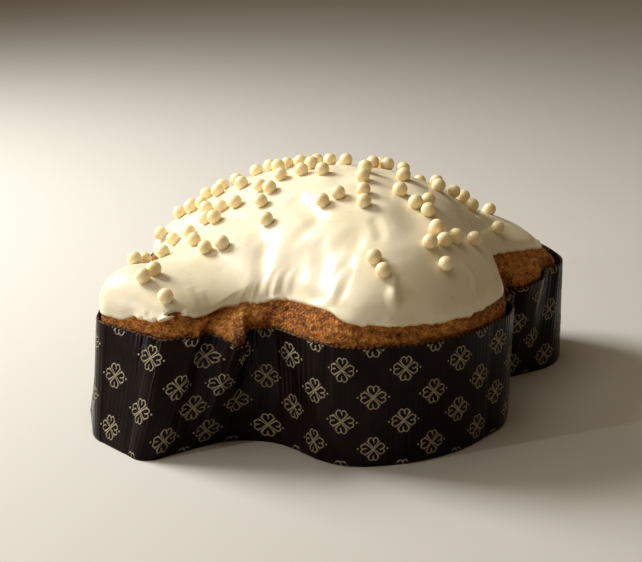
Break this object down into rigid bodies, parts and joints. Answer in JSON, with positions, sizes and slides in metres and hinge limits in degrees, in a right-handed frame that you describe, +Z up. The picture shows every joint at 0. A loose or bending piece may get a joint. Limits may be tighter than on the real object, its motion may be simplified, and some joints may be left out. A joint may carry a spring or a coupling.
{
  "type": "colomba cake",
  "caption": "Dove-shaped sweet loaf standing in its pleated dark paper case, with a domed golden crust, ivory icing over the crown and sugar pearls stuck in the icing.",
  "frame": {"origin": "middle of the bottom of the paper case, on the surface that the cake stands on", "axes": "+X from the head lobe to the tail lobe, along the length; +Y from the near wing to the far wing; +Z up"},
  "size_m": [0.2582, 0.1922, 0.1149],
  "materials": {
    "paper": "semi-gloss film on corrugated paper, printed with a small pattern in beige",
    "crust": "matte, fine-pored golden-brown crust",
    "icing": "smooth semi-gloss ivory icing"
  },
  "bodies": {
    "root": {"paper_case": "paper", "cake": "crust", "icing": "icing"}
  },
  "joints": []
}
